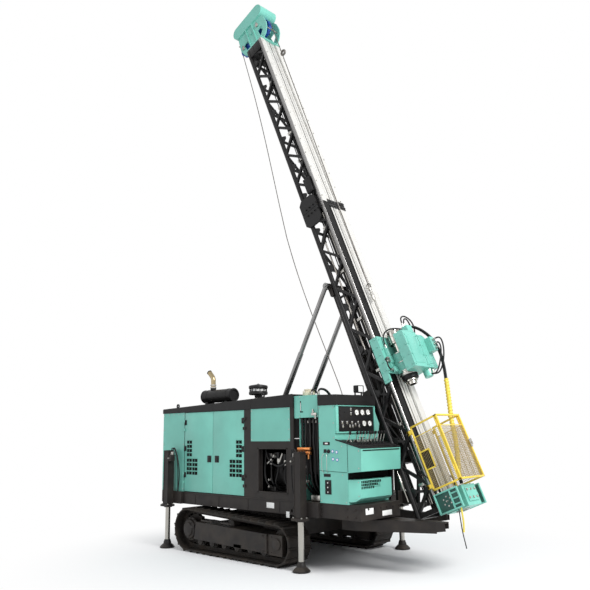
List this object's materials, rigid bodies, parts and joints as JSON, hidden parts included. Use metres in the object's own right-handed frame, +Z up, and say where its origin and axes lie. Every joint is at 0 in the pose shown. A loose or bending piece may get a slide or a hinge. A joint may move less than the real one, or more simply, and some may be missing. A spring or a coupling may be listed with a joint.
{
  "type": "exploration drilling rig",
  "caption": "Crawler-mounted exploration core drilling rig with a folding lattice mast on a tilting slide carrier, rotation head, rod guard, jacks and winches.",
  "frame": {"origin": "on the ground under the middle of the whole machine's bounding box", "axes": "+Z up, +X towards the drill end where the mast's foot stands, +Y to the side away from the control cabinet"},
  "size_m": [4.9205, 2.32, 9.1985],
  "materials": {
    "rig_green": "semi-gloss",
    "frame_paint": "satin",
    "track_steel": "worn",
    "black_trim": "satin",
    "engine_grey": "matt",
    "guard_yellow": "semi-gloss",
    "sheave_blue": "semi-gloss",
    "slide_cream": "satin",
    "chrome_rod": "polished",
    "cream_plastic": "matt"
  },
  "bodies": {
    "base": {"base_frame": "frame_paint", "track_near": "track_steel", "track_far": "track_steel", "track_frame_near": "frame_paint", "track_frame_far": "frame_paint", "jack_housing_front_near": "frame_paint", "jack_housing_front_far": "frame_paint", "jack_housing_rear_near": "frame_paint", "jack_housing_rear_far": "frame_paint", "engine_house": "rig_green", "house_frame": "frame_paint", "roof": "black_trim", "tank_near": "rig_green", "tank_far": "rig_green", "engine": "engine_grey", "pumps": "black_trim", "filter_box": "rig_green", "canisters": "black_trim", "cabinet": "rig_green", "cabinet_top": "black_trim", "gauge_panel": "black_trim", "desk_controls": "black_trim", "silencer": "black_trim", "pre_cleaner": "black_trim", "work_light": "black_trim", "filler_cap": "cream_plastic", "tower": "frame_paint", "winch_frame": "frame_paint"},
    "carrier": {"carrier": "frame_paint"},
    "mast": {"mast_lower": "frame_paint", "mast_face_lower": "slide_cream", "feed_cylinder": "chrome_rod", "guard_side_near": "guard_yellow", "guard_side_far": "guard_yellow", "foot_clamp": "rig_green"},
    "upper_mast": {"mast_upper": "frame_paint", "mast_face_upper": "slide_cream", "crown": "rig_green"},
    "head": {"head_carriage": "rig_green", "rotation_head": "rig_green"},
    "spindle": {"spindle": "chrome_rod"},
    "gate": {"guard_gate": "guard_yellow"},
    "sheave_front": {"sheave_front": "sheave_blue"},
    "sheave_rear": {"sheave_rear": "sheave_blue"},
    "wireline_drum": {"wireline_drum": "black_trim"},
    "hoist_drum": {"hoist_drum": "black_trim"},
    "door_rear": {"door_rear": "rig_green"},
    "door_front": {"door_front": "rig_green"},
    "jack_leg_front_near": {"jack_leg_front_near": "chrome_rod"},
    "jack_leg_front_far": {"jack_leg_front_far": "chrome_rod"},
    "jack_leg_rear_near": {"jack_leg_rear_near": "chrome_rod"},
    "jack_leg_rear_far": {"jack_leg_rear_far": "chrome_rod"},
    "raise_barrel_near": {"raise_barrel_near": "frame_paint"},
    "raise_stage_near": {"raise_stage_near": "chrome_rod"},
    "raise_rod_near": {"raise_rod_near": "chrome_rod"},
    "raise_barrel_far": {"raise_barrel_far": "frame_paint"},
    "raise_stage_far": {"raise_stage_far": "chrome_rod"},
    "raise_rod_far": {"raise_rod_far": "chrome_rod"}
  },
  "joints": [
    {"name": "mast_tilt", "type": "hinge", "parent": "base", "child": "carrier", "pos_m": [1, 0.12, 2.05], "axis": [0, 1, 0], "range_deg": [-68, 22]},
    {"name": "mast_dump", "type": "slide", "parent": "carrier", "child": "mast", "axis": [-0.3746, 0, 0.9272], "range_m": [-0.3, 0.5]},
    {"name": "mast_fold", "type": "hinge", "parent": "mast", "child": "upper_mast", "pos_m": [-0.15004, 0.42, 4.89645], "axis": [-0.9272, 0, -0.3746], "range_deg": [0, 180]},
    {"name": "head_feed", "type": "slide", "parent": "mast", "child": "head", "axis": [-0.3746, 0, 0.9272], "range_m": [-0.55, 2.25]},
    {"name": "spindle_turn", "type": "hinge", "parent": "head", "child": "spindle", "pos_m": [1.51996, 0.12, 2.58364], "axis": [-0.3746, 0, 0.9272], "continuous": true},
    {"name": "guard_gate", "type": "hinge", "parent": "mast", "child": "gate", "pos_m": [2.26285, -0.163, 1.48169], "axis": [0.3746, 0, -0.9272], "range_deg": [0, 110]},
    {"name": "sheave_front_turn", "type": "hinge", "parent": "upper_mast", "child": "sheave_front", "pos_m": [-1.16633, 0.12, 8.79999], "axis": [0, 1, 0], "continuous": true},
    {"name": "sheave_rear_turn", "type": "hinge", "parent": "upper_mast", "child": "sheave_rear", "pos_m": [-1.5181, 0.03, 8.49608], "axis": [0, 1, 0], "continuous": true},
    {"name": "jack_front_near", "type": "slide", "parent": "base", "child": "jack_leg_front_near", "axis": [0, 0, 1], "range_m": [-0.2, 0.36]},
    {"name": "jack_front_far", "type": "slide", "parent": "base", "child": "jack_leg_front_far", "axis": [0, 0, 1], "range_m": [-0.2, 0.36]},
    {"name": "jack_rear_near", "type": "slide", "parent": "base", "child": "jack_leg_rear_near", "axis": [0, 0, 1], "range_m": [-0.2, 0.36]},
    {"name": "jack_rear_far", "type": "slide", "parent": "base", "child": "jack_leg_rear_far", "axis": [0, 0, 1], "range_m": [-0.2, 0.36]},
    {"name": "door_rear", "type": "hinge", "parent": "base", "child": "door_rear", "pos_m": [-1.88, -0.958, 1.4], "axis": [0, 0, -1], "range_deg": [0, 110]},
    {"name": "door_front", "type": "hinge", "parent": "base", "child": "door_front", "pos_m": [-0.506, -0.958, 1.4], "axis": [0, 0, 1], "range_deg": [0, 110]},
    {"name": "raise_pivot_near", "type": "hinge", "parent": "base", "child": "raise_barrel_near", "pos_m": [-1.3, -0.17, 0.72], "axis": [0, 1, 0], "range_deg": [-18.5, 7]},
    {"name": "raise_stage_near", "type": "slide", "parent": "raise_barrel_near", "child": "raise_stage_near", "axis": [0.4933, 0, 0.8698], "range_m": [-0.948, 0.32]},
    {"name": "raise_rod_near", "type": "slide", "parent": "raise_stage_near", "child": "raise_rod_near", "axis": [0.4933, 0, 0.8698], "range_m": [-0.948, 0.32]},
    {"name": "raise_pivot_far", "type": "hinge", "parent": "base", "child": "raise_barrel_far", "pos_m": [-1.3, 0.41, 0.72], "axis": [0, 1, 0], "range_deg": [-18.5, 7]},
    {"name": "raise_stage_far", "type": "slide", "parent": "raise_barrel_far", "child": "raise_stage_far", "axis": [0.4933, 0, 0.8698], "range_m": [-0.948, 0.32]},
    {"name": "raise_rod_far", "type": "slide", "parent": "raise_stage_far", "child": "raise_rod_far", "axis": [0.4933, 0, 0.8698], "range_m": [-0.948, 0.32]},
    {"name": "wireline_drum_turn", "type": "hinge", "parent": "base", "child": "wireline_drum", "pos_m": [0.56, 0.12, 1.56], "axis": [0, 1, 0], "continuous": true},
    {"name": "hoist_drum_turn", "type": "hinge", "parent": "base", "child": "hoist_drum", "pos_m": [0.18, 0.12, 1.12], "axis": [0, 1, 0], "continuous": true}
  ],
  "couplings": [
    {"joint": "raise_pivot_near", "follows": "mast_tilt", "ratio": 0.26},
    {"joint": "raise_stage_near", "follows": "mast_tilt", "m_per_rad": 0.795},
    {"joint": "raise_rod_near", "follows": "mast_tilt", "m_per_rad": 0.795},
    {"joint": "raise_pivot_far", "follows": "mast_tilt", "ratio": 0.26},
    {"joint": "raise_stage_far", "follows": "mast_tilt", "m_per_rad": 0.795},
    {"joint": "raise_rod_far", "follows": "mast_tilt", "m_per_rad": 0.795}
  ]
}
